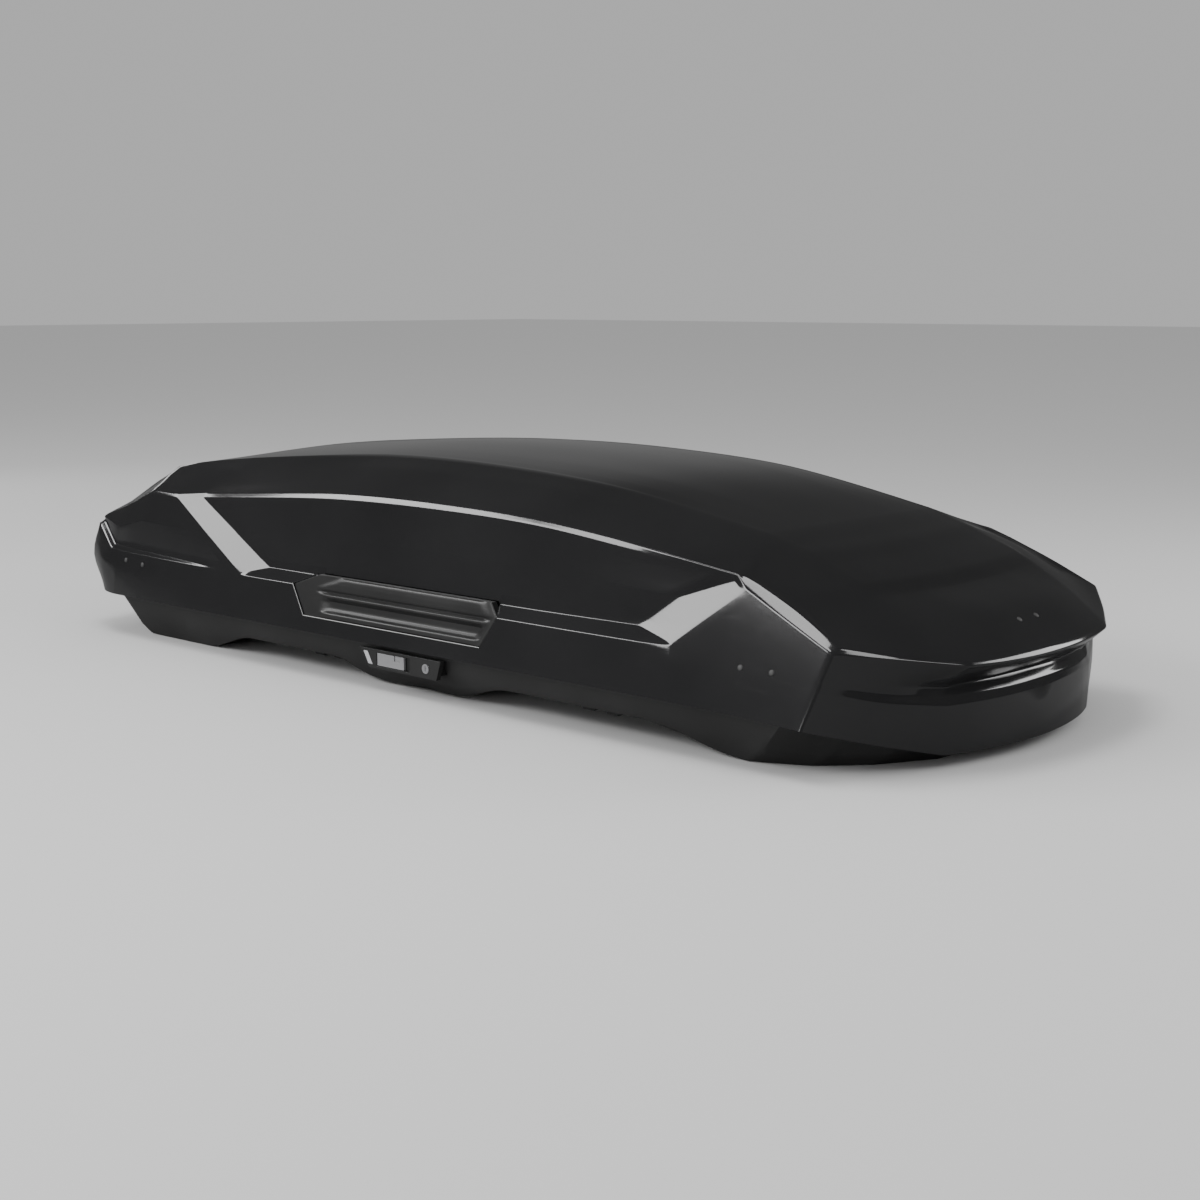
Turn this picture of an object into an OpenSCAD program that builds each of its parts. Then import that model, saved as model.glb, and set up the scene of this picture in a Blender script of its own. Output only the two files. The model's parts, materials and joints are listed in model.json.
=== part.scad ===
// Roof cargo box with a lid that opens from either side.
// Millimetres. X runs along the box with the nose at +X, Y runs across it, Z is up.
// The underside of the floor bulges stands on Z = 0 and the box is centred on X and Y.

/* [Box] */
// Overall length of the closed box
box_length = 2190; // [2100:10:2280]
// Overall width across the lid's lower edge
box_width = 914; // [900:2:930]
// Wall thickness of the moulded shells
wall = 4; // [3:0.5:5]
// Height of the lid's lower edge along the sides
edge_z = 90; // [88:1:92]

/* [Hinge and latch line] */
// Distance of each pivot axis inboard of the lid's side edge
axis_inset = 17; // [16:0.5:18]
// Height of the pivot axes
axis_z = 104; // [104:1:106]
// Positions of the three pivot arms along each side
arm_x = [-600, -240, 560];
// Pivot pin diameter
pin_d = 7; // [6:0.5:8]
// Travel of the latch bars
latch_travel = 18; // [14:1:20]

/* [Mounting clamps] */
// Positions of the rear and front clamp pairs along the box
clamp_x = [-365, 385];
// Distance of each clamp from the centreline
clamp_y = 300; // [280:5:310]
// Height of the crossbar that the jaws close round
bar_h = 28; // [24:1:30]
// Half the distance between the jaw pivots
jaw_reach = 40; // [36:1:44]

/* [Lid stays] */
// Positions of the rear and front folding stays along the box
stay_x = [-760, 690];
// Length of each stay link between its pivots
stay_link = 285; // [280:1:290]
// Height of the stay's lower pivot
stay_foot_z = 70; // [66:1:74]
// Height of the stay's upper pivot with the lid shut
stay_head_z = 300; // [296:1:304]

/* [Hidden] */
$fn = 48;
sx = box_length / 2190;
sy = box_width / 914;
axis_y = box_width / 2 - axis_inset;
run = 0.05;                 // radial running clearance of every pivot
floor_z = 40;               // underside of the two crossbar channels
bulge_z = 4;                // underside of the middle bulge
base_top_z = axis_z - 8;    // top edge of the base
wall_lean = 44;             // how far the base wall leans in from its top to the ground
long = 3000;                // longer than the whole box, for cutting solids

// ---------- lid outline ----------
// Each row is half a contour of the lid, from the tail's centre round the left side to the
// nose's centre: tail, tail quarter, tail corner, side at five places, front corner, facet,
// nose corner, nose quarter, nose centre.
lid_edge = [[-1085, 0, 90], [-1080, 220, 90], [-1045, 400, 90], [-940, 454, 90], [-560, 457, 90],
    [-150, 457, 90], [250, 457, 90], [600, 457, 90], [920, 457, 84], [980, 340, 52],
    [1033, 231, 23], [1066, 115, 23], [1076, 0, 23]];
lid_ledge = [[-1095, 0, 172], [-1090, 220, 172], [-1058, 404, 172], [-950, 447, 176], [-560, 444, 178],
    [-150, 444, 178], [250, 444, 178], [600, 442, 178], [932, 440, 140], [990, 335, 120],
    [1033, 231, 103], [1062, 115, 103], [1070, 0, 103]];
lid_recess_low = [[-1095, 0, 195], [-1090, 220, 195], [-1055, 406, 195], [-930, 444, 198], [-500, 424, 202],
    [-150, 424, 202], [250, 424, 202], [560, 424, 202], [937, 432, 160], [985, 328, 138],
    [1020, 224, 122], [1045, 112, 122], [1053, 0, 122]];
lid_recess_top = [[-1094, 0, 215], [-1089, 220, 215], [-1048, 408, 215], [-900, 434, 250], [-480, 404, 330],
    [-110, 400, 344], [250, 404, 336], [590, 406, 306], [941, 427, 176], [995, 326, 154],
    [1034, 224, 136], [1060, 112, 134], [1068, 0, 134]];
lid_belt = [[-1090, 0, 240], [-1085, 220, 240], [-1035, 405, 238], [-830, 418, 318], [-480, 414, 346],
    [-110, 410, 357], [250, 412, 350], [765, 397, 277], [948, 418, 200], [1010, 325, 184],
    [1067, 226, 169], [1088, 113, 166], [1095, 0, 165]];
lid_hood = [[-1062, 0, 266], [-1055, 215, 265], [-1000, 396, 262], [-822, 409, 326], [-480, 400, 354],
    [-110, 393, 366], [250, 394, 359], [755, 389, 281], [891, 375, 238], [944, 309, 229],
    [990, 240, 222], [1013, 122, 225], [1019, 0, 226]];
lid_foot = [[-1030, 0, 290], [-1020, 210, 288], [-960, 385, 284], [-815, 400, 334], [-480, 385, 361],
    [-110, 375, 373], [250, 375, 366], [745, 380, 285], [833, 330, 274], [872, 290, 270],
    [901, 253, 266], [917, 125, 263], [920, 0, 262]];
lid_crease = [[-880, 0, 362], [-870, 180, 362], [-835, 345, 366], [-690, 330, 388], [-480, 285, 406],
    [-110, 257, 424], [233, 261, 412], [559, 257, 374], [700, 247, 343], [800, 243, 310],
    [877, 250, 279], [888, 125, 287], [890, 0, 290]];
lid_crown = [[-800, 0, 378], [-790, 90, 378], [-760, 170, 380], [-660, 165, 399], [-470, 142, 417],
    [-110, 128, 436], [233, 130, 424], [540, 128, 387], [680, 124, 356], [770, 120, 325],
    [825, 120, 308], [840, 60, 306], [845, 0, 306]];
CONTOURS = [lid_edge, lid_ledge, lid_recess_low, lid_recess_top, lid_belt, lid_hood,
    lid_foot, lid_crease, lid_crown];
CREASES = [3, 8, 10];       // places along a contour where it turns sharply
STEPS = 3;                  // points made between two named places

function mixed(a, b, t) = a * (1 - t) + b * t;
function is_crease(k) = len([for (c = CREASES) if (c == k) 1]) > 0;
function before(c, k) = k == 0 ? [c[1].x, -c[1].y, c[1].z] : is_crease(k) ? 2 * c[k] - c[k + 1] : c[k - 1];
function after(c, k) = k == len(c) - 1 ? [c[k - 1].x, -c[k - 1].y, c[k - 1].z]
    : is_crease(k) ? 2 * c[k] - c[k - 1] : c[k + 1];
function curve(p0, p1, p2, p3, t) = 0.5 * (2 * p1 + (p2 - p0) * t
    + (2 * p0 - 5 * p1 + 4 * p2 - p3) * t * t + (3 * p1 - p0 - 3 * p2 + p3) * t * t * t);
function half_contour(c) = concat(
    [for (k = [0:len(c) - 2], s = [0:STEPS - 1])
        curve(before(c, k), c[k], c[k + 1], after(c, k + 1), s / STEPS)],
    [c[len(c) - 1]]);
function sized(p) = [p.x * sx, p.y * sy, p.z];
// A whole closed contour: the left half forwards, then the right half back
function ring(c) = let (h = half_contour(c), m = len(h) - 1)
    concat([for (k = [0:m]) sized(h[k])],
        [for (k = [m - 1:-1:1]) sized([h[k].x, -h[k].y, h[k].z])]);
function unit(v) = v / max(norm(v), 0.000001);
// Points of one ring moved inwards by the wall thickness along the surface's own normal
function inner_ring(rings, r) = let (n = len(rings[r]), up = min(r + 1, len(rings) - 1), down = max(r - 1, 0))
    [for (j = [0:n - 1]) let (
        along = rings[r][(j + 1) % n] - rings[r][(j + n - 1) % n],
        rise = rings[up][j] - rings[down][j],
        out = unit(cross(along, rise)),
        flat = unit([out.x, out.y, 0]))
        rings[r][j] + wall * (r == 0 ? flat : out)];

module lid_skin() {
    outer = [for (c = CONTOURS) ring(c)];
    levels = len(outer);
    inner = [for (r = [0:levels - 1]) inner_ring(outer, r)];
    n = len(outer[0]);
    m = n / 2;
    // Points on the centreline close the top between the two halves of the last ring
    top = [for (k = [1:m - 1]) let (p = outer[levels - 1][k]) [p.x, 0, p.z + 3.5]];
    points = concat([for (r = outer, p = r) p], [for (r = inner, p = r) p], top,
        [for (p = top) p - [0, 0, wall]]);
    in0 = levels * n;
    top0 = 2 * levels * n;
    topi0 = top0 + m - 1;
    function q(a, b, c, d) = [[a, b, c], [a, c, d]];
    function at(r, j) = r * n + (j + n) % n;
    function mid(base, edge0, k) = k == 0 ? edge0 : k == m ? edge0 + m : base + k - 1;
    last = (levels - 1) * n;
    faces = concat(
        [for (r = [0:levels - 2], j = [0:n - 1])
            each q(at(r, j), at(r + 1, j), at(r + 1, j + 1), at(r, j + 1))],
        [for (r = [0:levels - 2], j = [0:n - 1])
            each q(in0 + at(r, j), in0 + at(r, j + 1), in0 + at(r + 1, j + 1), in0 + at(r + 1, j))],
        [for (j = [0:n - 1]) each q(at(0, j), at(0, j + 1), in0 + at(0, j + 1), in0 + at(0, j))],
        [for (k = [0:m - 1]) each cap_pair(last + k, last + k + 1,
            mid(top0, last, k), mid(top0, last, k + 1), false)],
        [for (k = [0:m - 1]) each cap_pair(last + (n - k) % n, last + n - k - 1,
            mid(top0, last, k), mid(top0, last, k + 1), true)],
        [for (k = [0:m - 1]) each cap_pair(in0 + last + k, in0 + last + k + 1,
            mid(topi0, in0 + last, k), mid(topi0, in0 + last, k + 1), true)],
        [for (k = [0:m - 1]) each cap_pair(in0 + last + (n - k) % n, in0 + last + n - k - 1,
            mid(topi0, in0 + last, k), mid(topi0, in0 + last, k + 1), false)]);
    polyhedron(points, faces, convexity = 10);
}
// One strip of the top between a ring's edge a, b and the centreline c, d
function cap_pair(a, b, c, d, flip) = let (
    tris = concat(a == c ? [] : [[a, c, b]], b == d ? [] : [[c, d, b]]))
    flip ? [for (t = tris) [t[2], t[1], t[0]]] : tris;

module lid_shell() {
    color([0.06, 0.06, 0.065]) difference() {
        lid_skin();
        for (s = [-1, 1]) side(s) handle_block(0.4, 30);
    }
}

// ---------- base ----------
// Half outlines from the tail's centre round the left side to the nose's centre
top_outline = [[-1066, 0], [-1060, 200], [-1020, 380], [-925, 440], [880, 440], [945, 335],
    [1008, 222], [1040, 110], [1050, 0]];
low_outline = [[-1010, 0], [-1004, 200], [-975, 345], [-890, 396], [785, 396], [880, 350],
    [946, 281], [997, 187], [1011, 102], [1015, 0]];
function both_sides(h) = concat(h, [for (k = [len(h) - 2:-1:1]) [h[k].x, -h[k].y]]);
function scaled(h) = [for (p = h) [p.x * sx, p.y * sy]];
// Underside of the floor seen from the side: three bulges with two crossbar channels between
floor_line = [[-1080, 110], [-1080, 82], [-980, 56], [-954, 30], [-900, 0], [-660, 0], [-560, 28],
    [-525, floor_z], [-215, floor_z], [-165, 14], [-120, bulge_z], [110, bulge_z], [165, 20],
    [215, floor_z], [560, floor_z], [635, 28], [720, 8], [790, 0], [1015, 0], [1080, 60], [1080, 110]];

module base_solid(inset, lift, top) {
    intersection() {
        hull() {
            translate([0, 0, top - 0.01]) linear_extrude(0.01)
                offset(delta = -inset) polygon(both_sides(scaled(top_outline)));
            translate([0, 0, lift - 0.02]) linear_extrude(0.01)
                offset(delta = -inset) polygon(both_sides(scaled(low_outline)));
        }
        translate([0, box_width / 2, lift]) rotate([90, 0, 0]) linear_extrude(box_width)
            polygon([for (p = floor_line) [p.x * sx, p.y]]);
    }
}

module clamp_slots(depth_z, high, grow) {
    for (x = clamp_x, s = [-1, 1])
        translate([x - jaw_reach - 45 - grow, s * clamp_y - 20 - grow, depth_z])
            cube([2 * jaw_reach + 90 + 2 * grow, 40 + 2 * grow, high]);
}

module base_shell() {
    color([0.09, 0.09, 0.095]) difference() {
        base_solid(0, 0, base_top_z);
        base_solid(wall, wall, base_top_z + 0.02);
        clamp_slots(floor_z - 10, 30, 0);
        for (s = [-1, 1]) lock_openings(s);
    }
}

// Steel plate that spreads the clamp load over one channel of the floor
plate_l = 250;
plate_w = 750;
plate_t = 2;
module floor_plate(x0) {
    difference() {
        translate([x0 - plate_l / 2, -plate_w / 2 * sy, floor_z + wall]) cube([plate_l, plate_w * sy, plate_t]);
        clamp_slots(floor_z, 10, 0);
        for (x = [-1, 1], y = [-200:100:200])
            translate([x0 + x * 95, y, floor_z]) cylinder(d = 30, h = 20);
    }
}
module rear_floor_plate() { color([0.55, 0.56, 0.58]) floor_plate(clamp_x[0]); }
module front_floor_plate() { color([0.55, 0.56, 0.58]) floor_plate(clamp_x[1]); }

// ---------- locks ----------
lock_low = 42;              // bottom of the lock panel
lock_high = 79;             // top of the lock panel
lock_face = box_width / 2 - 9;
slider_x = -26;             // middle of the sliding grip when the latches are free
slider_l = 74;
slider_h = 24;
key_x = 72;
key_r = 9;
mid_z = (lock_low + lock_high) / 2;
bar_y = axis_y - 50;        // outer face of the latch bar

module side(s) { if (s > 0) children(); else mirror([0, 1, 0]) children(); }

window_deep = 60;
// Windows through the base wall for the slider's stem and the key cylinder
module lock_openings(s) {
    side(s) {
        translate([slider_x - 10, axis_y - window_deep, mid_z - 6])
            cube([20 + latch_travel + 4, window_deep, 12]);
        translate([key_x, axis_y - window_deep, mid_z]) rotate([-90, 0, 0])
            cylinder(r = key_r + 2, h = window_deep);
    }
}
panel_outline = [[-112, lock_high], [112, lock_high], [100, lock_low], [-86, lock_low]];

module lock_housing() {
    difference() {
        translate([0, lock_face, 0]) rotate([90, 0, 0]) linear_extrude(10) polygon(panel_outline);
        // pocket for the sliding grip
        translate([slider_x - slider_l / 2 - 1, lock_face - 7, mid_z - slider_h / 2 - 1])
            cube([slider_l + latch_travel + 2, 20, slider_h + 2]);
        translate([slider_x - 8, lock_face - 20, mid_z - 5]) cube([16 + latch_travel + 2, 30, 10]);
        translate([key_x, lock_face - 20, mid_z]) rotate([-90, 0, 0]) cylinder(r = key_r + run, h = 30);
        lens_cut(0.2, 6);
    }
    // webs that carry the panel on the base wall
    difference() {
        for (x = [-80, 92]) translate([x, axis_y - 24, lock_low + 6]) cube([5, 24, 26]);
        base_inside();
    }
}
// Everything inside the base wall's outer face along one side
module base_inside() {
    rotate([90, 0, 90]) linear_extrude(long, center = true)
        polygon([[0, 0], [axis_y - wall_lean, 0], [axis_y, base_top_z], [0, base_top_z]]);
}
module lens_cut(grow, depth) {
    translate([0, lock_face + 0.01, 0]) rotate([90, 0, 0]) linear_extrude(depth)
        polygon([[-103 - grow, lock_high - 6 + grow], [-90 + grow, lock_high - 6 + grow],
            [-76 + grow, lock_low + 7 - grow], [-89 - grow, lock_low + 7 - grow]]);
}
module right_lock_housing() { color([0.05, 0.05, 0.055]) side(-1) lock_housing(); }
module left_lock_housing() { color([0.05, 0.05, 0.055]) side(1) lock_housing(); }
module lock_lens() { translate([0, -1, 0]) lens_cut(0, 4); }
module right_lock_lens() { color([0.75, 0.76, 0.78]) side(-1) lock_lens(); }
module left_lock_lens() { color([0.75, 0.76, 0.78]) side(1) lock_lens(); }

// Sliding grip with a finger notch, and the stem that reaches the latch bar
module lock_slider() {
    difference() {
        translate([slider_x - slider_l / 2, lock_face - 6, mid_z - slider_h / 2]) cube([slider_l, 5, slider_h]);
        translate([slider_x + 10, lock_face - 3, mid_z + 2]) cube([18, 5, 20]);
    }
    translate([slider_x - 6, bar_y, mid_z - 4]) cube([12, lock_face - bar_y - 4, 8]);
}
module right_lock_slider() { color([0.62, 0.63, 0.65]) side(-1) lock_slider(); }
module left_lock_slider() { color([0.62, 0.63, 0.65]) side(1) lock_slider(); }

// Flat bar with one finger for each pivot arm
finger = 16;                // length of a finger
finger_z = mid_z;
module latch_bar() {
    first = arm_x[0] - 60;
    last = arm_x[2] + 4;
    translate([first, bar_y - 5, finger_z - 7]) cube([last - first, 5, 14]);
    for (x = arm_x) {
        translate([x - 13 - finger, bar_y - 0.01, finger_z - 2.5]) cube([5, 10, 5]);
        translate([x - 13 - finger, bar_y + 6, finger_z - 2.5]) cube([finger, 4, 5]);
    }
}
module right_latch_bar() { color([0.6, 0.61, 0.63]) side(-1) latch_bar(); }
module left_latch_bar() { color([0.6, 0.61, 0.63]) side(1) latch_bar(); }

cam_t = 3;                  // thickness of the cam on the back of each key cylinder
cam_y = lock_face - 35;
module key_cylinder() {
    difference() {
        translate([key_x, cam_y + cam_t, mid_z]) rotate([-90, 0, 0])
            cylinder(r = key_r, h = lock_face + 1 - cam_y - cam_t);
        translate([key_x - 1, lock_face - 3, mid_z - 5]) cube([2, 10, 10]);
    }
}
module right_key_cylinder() { color([0.7, 0.7, 0.72]) side(-1) key_cylinder(); }
module left_key_cylinder() { color([0.7, 0.7, 0.72]) side(1) key_cylinder(); }
module lock_cam() {
    translate([key_x, cam_y, mid_z]) rotate([-90, 0, 0]) hull() {
        cylinder(r = key_r - 1, h = cam_t, $fn = 32);
        translate([0, -16, 0]) cylinder(r = 4, h = cam_t, $fn = 32);
    }
}
module right_lock_cam() { color([0.5, 0.5, 0.52]) side(-1) lock_cam(); }
module left_lock_cam() { color([0.5, 0.5, 0.52]) side(1) lock_cam(); }

// ---------- pivot arms, sockets and lugs ----------
arm_t = 10;                 // thickness of an arm along the box
foot_y = axis_y - 44;       // inner face of an arm's foot
foot_t = 12;
foot_low = finger_z - 12;
boss_r = 5.7;               // radius of the arm round its pin

module pivot_arm(x) {
    difference() {
        translate([x - arm_t / 2, 0, 0]) rotate([90, 0, 90]) linear_extrude(arm_t) union() {
            translate([axis_y, axis_z]) circle(r = boss_r);
            polygon([[axis_y, axis_z + boss_r], [foot_y + 4, axis_z + boss_r], [foot_y, axis_z],
                [foot_y, foot_low], [foot_y + foot_t, foot_low], [foot_y + foot_t, base_top_z - 6],
                [axis_y - 8, base_top_z + 2], [axis_y - 4, base_top_z + 2.8], [axis_y, axis_z - boss_r]]);
        }
        translate([x, axis_y, axis_z]) rotate([0, 90, 0]) cylinder(r = pin_d / 2 + run, h = 30, center = true);
        // window that the latch finger enters
        translate([x - 20, foot_y - 1, finger_z - 4.5]) cube([40, 7, 9]);
    }
}
module pivot_arms() { for (x = arm_x) pivot_arm(x); }
module right_pivot_arms() { color([0.18, 0.18, 0.19]) side(-1) pivot_arms(); }
module left_pivot_arms() { color([0.18, 0.18, 0.19]) side(1) pivot_arms(); }

// Cheeks that guide each foot down beside the base wall, standing on the channel floor
socket_low = floor_z + wall + 0.4;
module latch_sockets() {
    for (x = arm_x, s = [-1, 1])
        difference() {
            translate([x + s * (arm_t / 2 + 4) - 3, bar_y + 12, socket_low])
                cube([6, 16, finger_z + 18 - socket_low]);
            base_outside();
        }
}
// Everything outside the base wall's inner face along one side
module base_outside() {
    inner = axis_y - wall - 0.25;
    rotate([90, 0, 90]) linear_extrude(long, center = true)
        polygon([[inner - wall_lean, wall], [inner, base_top_z],
            [axis_y + 100, base_top_z], [axis_y + 100, wall]]);
}
module right_latch_sockets() { color([0.2, 0.2, 0.21]) side(-1) latch_sockets(); }
module left_latch_sockets() { color([0.2, 0.2, 0.21]) side(1) latch_sockets(); }

lug_gap = arm_t / 2 + 2;
module hinge_lugs() {
    plate_y = box_width / 2 - 11;
    for (x = arm_x) {
        for (s = [-1, 1]) difference() {
            translate([x + s * (lug_gap + 2) - 2, 0, 0]) rotate([90, 0, 90]) linear_extrude(4) union() {
                translate([axis_y, axis_z]) circle(r = boss_r);
                polygon([[axis_y, axis_z + boss_r], [plate_y - 1, axis_z + 13], [plate_y + 1, axis_z + 13],
                    [plate_y + 1, axis_z - 4], [axis_y, axis_z - boss_r]]);
            }
            translate([x, axis_y, axis_z]) rotate([0, 90, 0]) cylinder(d = pin_d, h = 60, center = true);
        }
        translate([x - 22, plate_y, axis_z - 4]) cube([44, 2, 18]);
    }
}
module right_hinge_lugs() { color([0.58, 0.59, 0.6]) side(-1) hinge_lugs(); }
module left_hinge_lugs() { color([0.58, 0.59, 0.6]) side(1) hinge_lugs(); }
module pivot_pins() {
    for (x = arm_x) translate([x, axis_y, axis_z]) rotate([0, 90, 0])
        cylinder(d = pin_d, h = 2 * lug_gap + 12, center = true);
}
module right_pivot_pins() { color([0.7, 0.7, 0.72]) side(-1) pivot_pins(); }
module left_pivot_pins() { color([0.7, 0.7, 0.72]) side(1) pivot_pins(); }

// ---------- lid handles ----------
// Moulded grip let into each side of the lid, its face leaning with the lid's side
handle_outline = [[-313, 177], [-274, 121], [217, 121], [253, 177], [236, 201], [-241, 201]];
handle_lean = 8.4;
handle_t = 12;
module handle_block(grow, deep) {
    translate([0, box_width / 2 + 0.8, edge_z]) rotate([handle_lean, 0, 0])
        translate([0, deep - handle_t, -edge_z]) rotate([90, 0, 0]) linear_extrude(deep)
            offset(delta = grow) polygon(handle_outline);
}
module handle() {
    difference() {
        handle_block(0, handle_t);
        // finger scoop, open towards the outside
        translate([0, box_width / 2 + 0.8, edge_z]) rotate([handle_lean, 0, 0])
            translate([-150, -9, 52]) cube([280, 12, 22]);
    }
}
module right_handle() { color([0.07, 0.07, 0.075]) side(-1) handle(); }
module left_handle() { color([0.07, 0.07, 0.075]) side(1) handle(); }

// ---------- folding lid stays ----------
link_t = 6;                 // thickness of a stay link along the box
stay_pin_r = 4;
half_rise = (stay_head_z - stay_foot_z) / 2;
elbow_out = sqrt(stay_link * stay_link - half_rise * half_rise);
elbow_z = stay_foot_z + half_rise;
stay_side = [-1, 1];        // the side that each stay's elbow folds towards

// Outline of a flat bar with round ends, lying along the first axis from 0 to l
function bar_outline(l, r) = concat(
    [for (t = [90:15:270]) [r * cos(t), r * sin(t)]],
    [for (t = [-90:15:90]) [l + r * cos(t), r * sin(t)]]);
module pin_bore(x, place) {
    translate([x, place[0], place[1]]) rotate([0, 90, 0])
        cylinder(r = stay_pin_r + run, h = 60, center = true);
}
module link(x, a, b, bore_a, bore_b) {
    difference() {
        translate([x, a[0], a[1]]) rotate([atan2(b[1] - a[1], b[0] - a[0]), 0, 0])
            rotate([90, 0, 90]) linear_extrude(link_t) polygon(bar_outline(norm(b - a), 10));
        if (bore_a) pin_bore(x, a);
        if (bore_b) pin_bore(x, b);
    }
}
module lower_arm(i) {
    link(stay_x[i] - link_t - 0.5, [0, stay_foot_z], [stay_side[i] * elbow_out, elbow_z], true, true);
}
module upper_arm(i) {
    link(stay_x[i] + 0.5, [stay_side[i] * elbow_out, elbow_z], [0, stay_head_z], true, false);
}
module stay_pin(x, y, z, l) { translate([x - l / 2, y, z]) rotate([0, 90, 0]) cylinder(r = stay_pin_r, h = l); }
module foot_pin(i) { stay_pin(stay_x[i] - link_t / 2 - 0.5, 0, stay_foot_z, 26); }
module elbow_pin(i) { stay_pin(stay_x[i], stay_side[i] * elbow_out, elbow_z, 2 * link_t + 5); }
module rear_stay_foot_pin() { color([0.7, 0.7, 0.72]) foot_pin(0); }
module front_stay_foot_pin() { color([0.7, 0.7, 0.72]) foot_pin(1); }
module rear_stay_elbow_pin() { color([0.7, 0.7, 0.72]) elbow_pin(0); }
module front_stay_elbow_pin() { color([0.7, 0.7, 0.72]) elbow_pin(1); }
module rear_stay_lower_arm() { color([0.5, 0.51, 0.53]) lower_arm(0); }
module front_stay_lower_arm() { color([0.5, 0.51, 0.53]) lower_arm(1); }
module rear_stay_upper_arm() { color([0.5, 0.51, 0.53]) upper_arm(0); }
module front_stay_upper_arm() { color([0.5, 0.51, 0.53]) upper_arm(1); }

// Everything under the floor's upper face
module floor_inside() {
    translate([0, 500, wall]) rotate([90, 0, 0]) linear_extrude(1000)
        polygon(concat([for (p = floor_line) [p.x * sx, p.y]], [[1200, -60], [-1200, -60]]));
}
foot_top = [wall + 4, 30];  // top of each foot's plate
module stay_feet() {
    color([0.22, 0.22, 0.23]) for (i = [0, 1]) {
        x = stay_x[i] - link_t / 2 - 0.5;
        difference() {
            union() {
                for (s = [-1, 1]) translate([x + s * 8 - 2.5, -22, 0]) cube([5, 44, stay_foot_z + 12]);
                translate([x - 24, -30, 0]) cube([48, 60, foot_top[i]]);
            }
            floor_inside();
            pin_bore(x, [0, stay_foot_z]);
        }
    }
}
// Beam across the roof with a fork for the stay's open upper pivot
roof_inside = [376, 339];   // height of the lid's inner face above each stay
module stay_beam(i) {
    x = stay_x[i] + 0.5 + link_t / 2;
    top = roof_inside[i];
    difference() {
        translate([x - 16, -200, top - 6]) cube([32, 400, 4]);
        translate([x - 8, -60, top - 10]) cube([16, 120, 10]);
    }
    for (s = [-1, 1]) translate([x + s * 10 - 2, -70, stay_head_z - 14]) cube([4, 140, top - stay_head_z + 8]);
}
module rear_stay_beam() { color([0.25, 0.25, 0.26]) stay_beam(0); }
module front_stay_beam() { color([0.25, 0.25, 0.26]) stay_beam(1); }

// ---------- clamps ----------
jaw_w = 34;                 // width of a jaw across the box
jaw_pivot_z = floor_z + wall + 12;
body_low = floor_z + wall + 2.3;
body_high = body_low + 34;

body_l = 128;               // length of a clamp's body along the box
body_w = 64;
trunnion_r = 4;
spindle_r = 6;

module clamp_body(x, y) {
    difference() {
        translate([x - body_l / 2, y - body_w / 2, body_low]) cube([body_l, body_w, body_high - body_low]);
        // hollow underside for the jaws
        translate([x - body_l / 2 + 6, y - jaw_w / 2 - 1, body_low - 1]) cube([body_l - 12, jaw_w + 2, 22]);
        for (s = [-1, 1]) translate([x + s * jaw_reach, y, jaw_pivot_z]) rotate([90, 0, 0])
            cylinder(r = trunnion_r + run, h = body_w + 6, center = true);
        translate([x, y, body_low]) cylinder(r = spindle_r + run, h = 50);
    }
}
knob_r = 27;
knob_h = 18;
module clamp_knob(x, y) {
    translate([x, y, body_low + 14]) cylinder(r = spindle_r, h = 26);
    difference() {
        translate([x, y, body_high + 0.3]) cylinder(r = knob_r, h = knob_h);
        // finger hollows round the knob
        for (a = [0:45:315])
            translate([x + (knob_r + 3) * cos(a), y + (knob_r + 3) * sin(a), body_high - 1])
                cylinder(r = 7, h = knob_h + 4);
    }
}
// Jaw with moulded trunnions; s points away from the crossbar
module clamp_jaw(x, y, s) {
    low = floor_z - bar_h - 6;
    translate([x + s * jaw_reach, y, jaw_pivot_z]) rotate([90, 0, 0])
        cylinder(r = trunnion_r, h = jaw_w + 20, center = true);
    translate([x, y + jaw_w / 2, 0]) rotate([90, 0, 0]) linear_extrude(jaw_w)
        polygon([for (p = [[jaw_reach - 6, jaw_pivot_z + 6], [jaw_reach + 6, jaw_pivot_z + 6],
            [jaw_reach + 8, low + 6], [jaw_reach + 2, low], [jaw_reach - 24, low],
            [jaw_reach - 26, low + 3], [jaw_reach - 10, low + 7], [jaw_reach - 4, low + 14],
            [jaw_reach - 5, floor_z]]) [s * p.x, p.y]]);
}
module rear_right_clamp_body() { color([0.12, 0.12, 0.13]) clamp_body(clamp_x[0], -clamp_y); }
module rear_left_clamp_body() { color([0.12, 0.12, 0.13]) clamp_body(clamp_x[0], clamp_y); }
module front_right_clamp_body() { color([0.12, 0.12, 0.13]) clamp_body(clamp_x[1], -clamp_y); }
module front_left_clamp_body() { color([0.12, 0.12, 0.13]) clamp_body(clamp_x[1], clamp_y); }
module rear_right_clamp_knob() { color([0.3, 0.3, 0.32]) clamp_knob(clamp_x[0], -clamp_y); }
module rear_left_clamp_knob() { color([0.3, 0.3, 0.32]) clamp_knob(clamp_x[0], clamp_y); }
module front_right_clamp_knob() { color([0.3, 0.3, 0.32]) clamp_knob(clamp_x[1], -clamp_y); }
module front_left_clamp_knob() { color([0.3, 0.3, 0.32]) clamp_knob(clamp_x[1], clamp_y); }
module rear_right_clamp_jaw_a() { color([0.2, 0.2, 0.21]) clamp_jaw(clamp_x[0], -clamp_y, 1); }
module rear_right_clamp_jaw_b() { color([0.2, 0.2, 0.21]) clamp_jaw(clamp_x[0], -clamp_y, -1); }
module rear_left_clamp_jaw_a() { color([0.2, 0.2, 0.21]) clamp_jaw(clamp_x[0], clamp_y, 1); }
module rear_left_clamp_jaw_b() { color([0.2, 0.2, 0.21]) clamp_jaw(clamp_x[0], clamp_y, -1); }
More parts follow.
